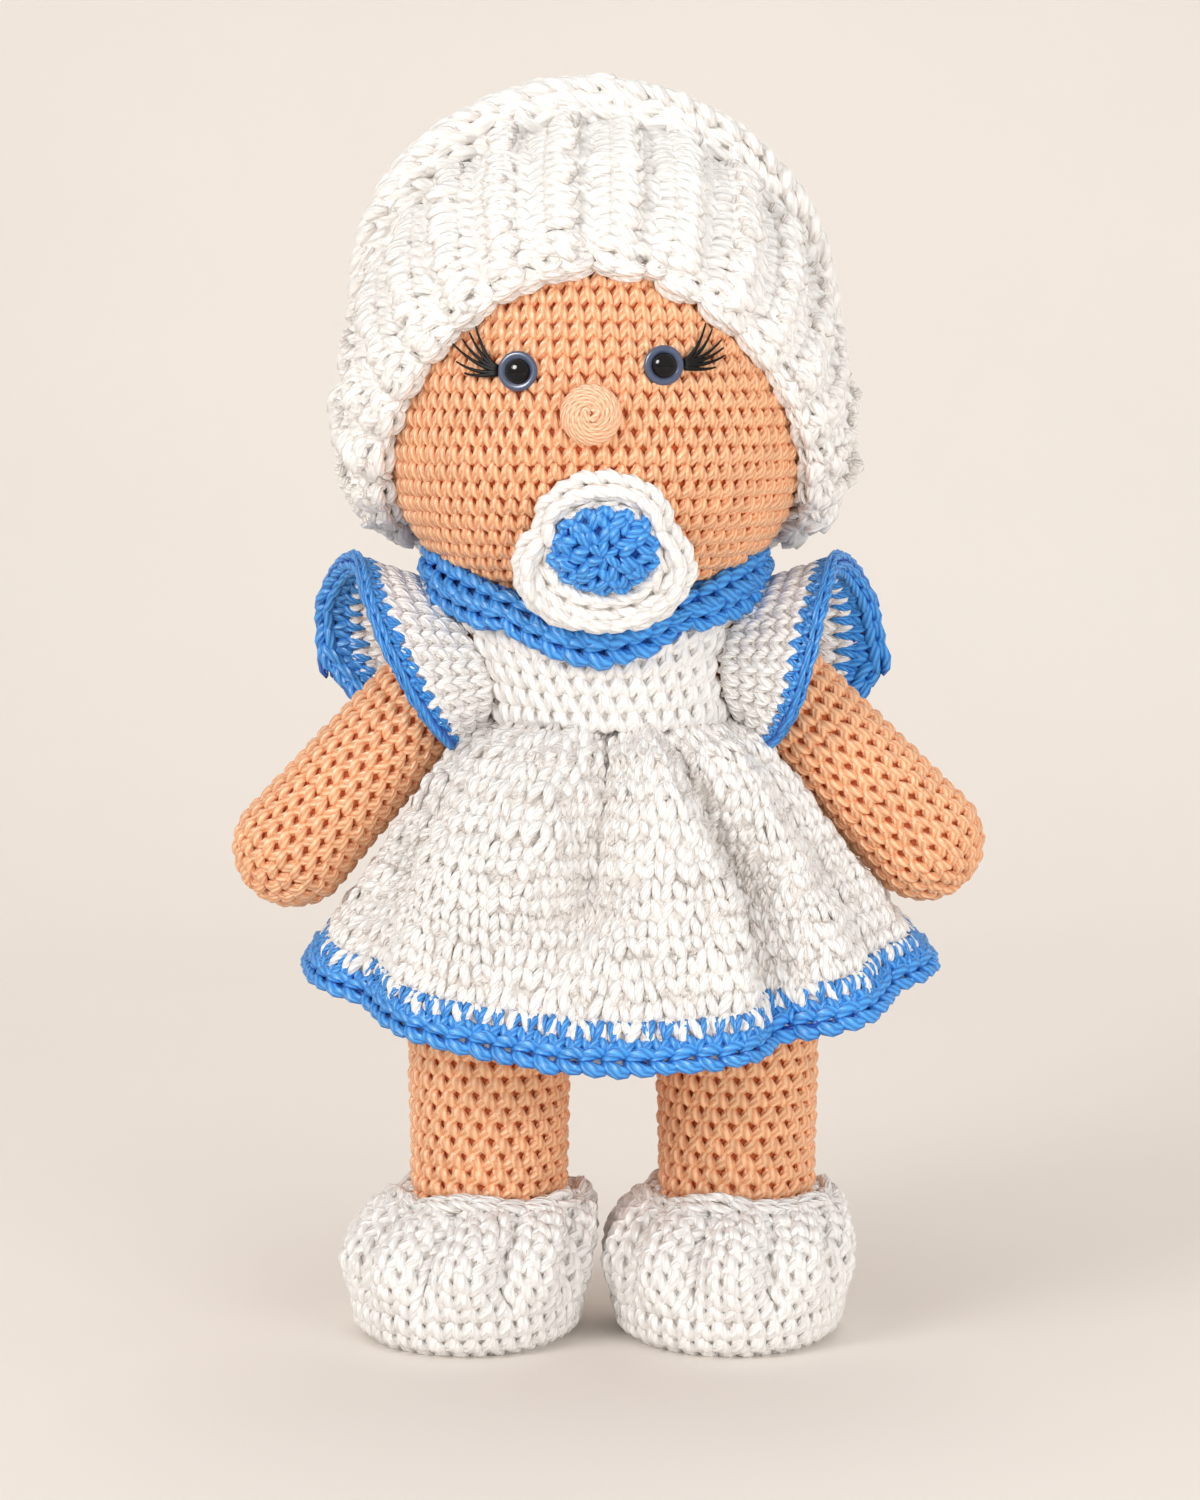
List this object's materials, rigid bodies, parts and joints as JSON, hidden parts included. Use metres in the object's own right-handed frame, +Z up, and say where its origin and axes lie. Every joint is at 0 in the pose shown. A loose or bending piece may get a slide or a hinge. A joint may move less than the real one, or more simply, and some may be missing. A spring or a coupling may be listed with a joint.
{
  "type": "amigurumi doll",
  "caption": "Crocheted amigurumi doll standing in a ribbed bonnet, flutter-sleeved frilled dress with coloured edging and puffed booties, with a crocheted pacifier sewn on its face.",
  "frame": {"origin": "on the floor under the middle of the doll, between its soles", "axes": "+Z up, the doll faces -Y, its own left is towards +X"},
  "size_m": [0.2421, 0.1745, 0.4079],
  "materials": {
    "skin_yarn": "mercerised cotton crochet, peach",
    "nose_yarn": "fine cotton wound in rounds, light peach",
    "fibrefill": "loose polyester filling",
    "eye_plastic": "polished dark dome with a slate rim",
    "washer_plastic": "moulded locking washer",
    "lash_thread": "black embroidery thread",
    "insole_plastic": "plain plastic sheet",
    "white_yarn": "soft white cotton crochet",
    "blue_yarn": "cotton crochet, mid blue"
  },
  "bodies": {
    "trunk": {"torso_skin": "skin_yarn", "left_leg_skin": "skin_yarn", "right_leg_skin": "skin_yarn", "torso_stuffing": "fibrefill", "left_leg_stuffing": "fibrefill", "right_leg_stuffing": "fibrefill", "left_insole": "insole_plastic", "right_insole": "insole_plastic", "left_bootie": "white_yarn", "right_bootie": "white_yarn", "left_bootie_cuff": "white_yarn", "right_bootie_cuff": "white_yarn", "dress_bodice": "white_yarn", "dress_skirt": "white_yarn", "left_flutter": "white_yarn", "right_flutter": "white_yarn", "skirt_hem": "blue_yarn", "collar": "blue_yarn", "left_flutter_trim": "blue_yarn", "right_flutter_trim": "blue_yarn"},
    "head": {"head_skin": "skin_yarn", "head_stuffing": "fibrefill", "left_eye": "eye_plastic", "right_eye": "eye_plastic", "left_eye_washer": "washer_plastic", "right_eye_washer": "washer_plastic", "left_lashes": "lash_thread", "right_lashes": "lash_thread", "nose": "nose_yarn", "pacifier_shield": "white_yarn", "pacifier_button": "blue_yarn", "bonnet_brim": "white_yarn", "bonnet_crown": "white_yarn"},
    "left_arm": {"left_arm_skin": "skin_yarn", "left_arm_stuffing": "fibrefill"},
    "right_arm": {"right_arm_skin": "skin_yarn", "right_arm_stuffing": "fibrefill"}
  },
  "joints": [
    {"name": "head_turn", "type": "hinge", "parent": "trunk", "child": "head", "pos_m": [-0.005, 0, 0.236], "axis": [0, 0, 1], "range_deg": [-15, 15]},
    {"name": "left_arm_raise", "type": "hinge", "parent": "trunk", "child": "left_arm", "pos_m": [0.0444, 0, 0.2214], "axis": [0, -1, 0], "range_deg": [0, 45]},
    {"name": "right_arm_raise", "type": "hinge", "parent": "trunk", "child": "right_arm", "pos_m": [-0.0484, 0, 0.2214], "axis": [0, 1, 0], "range_deg": [0, 45]}
  ]
}
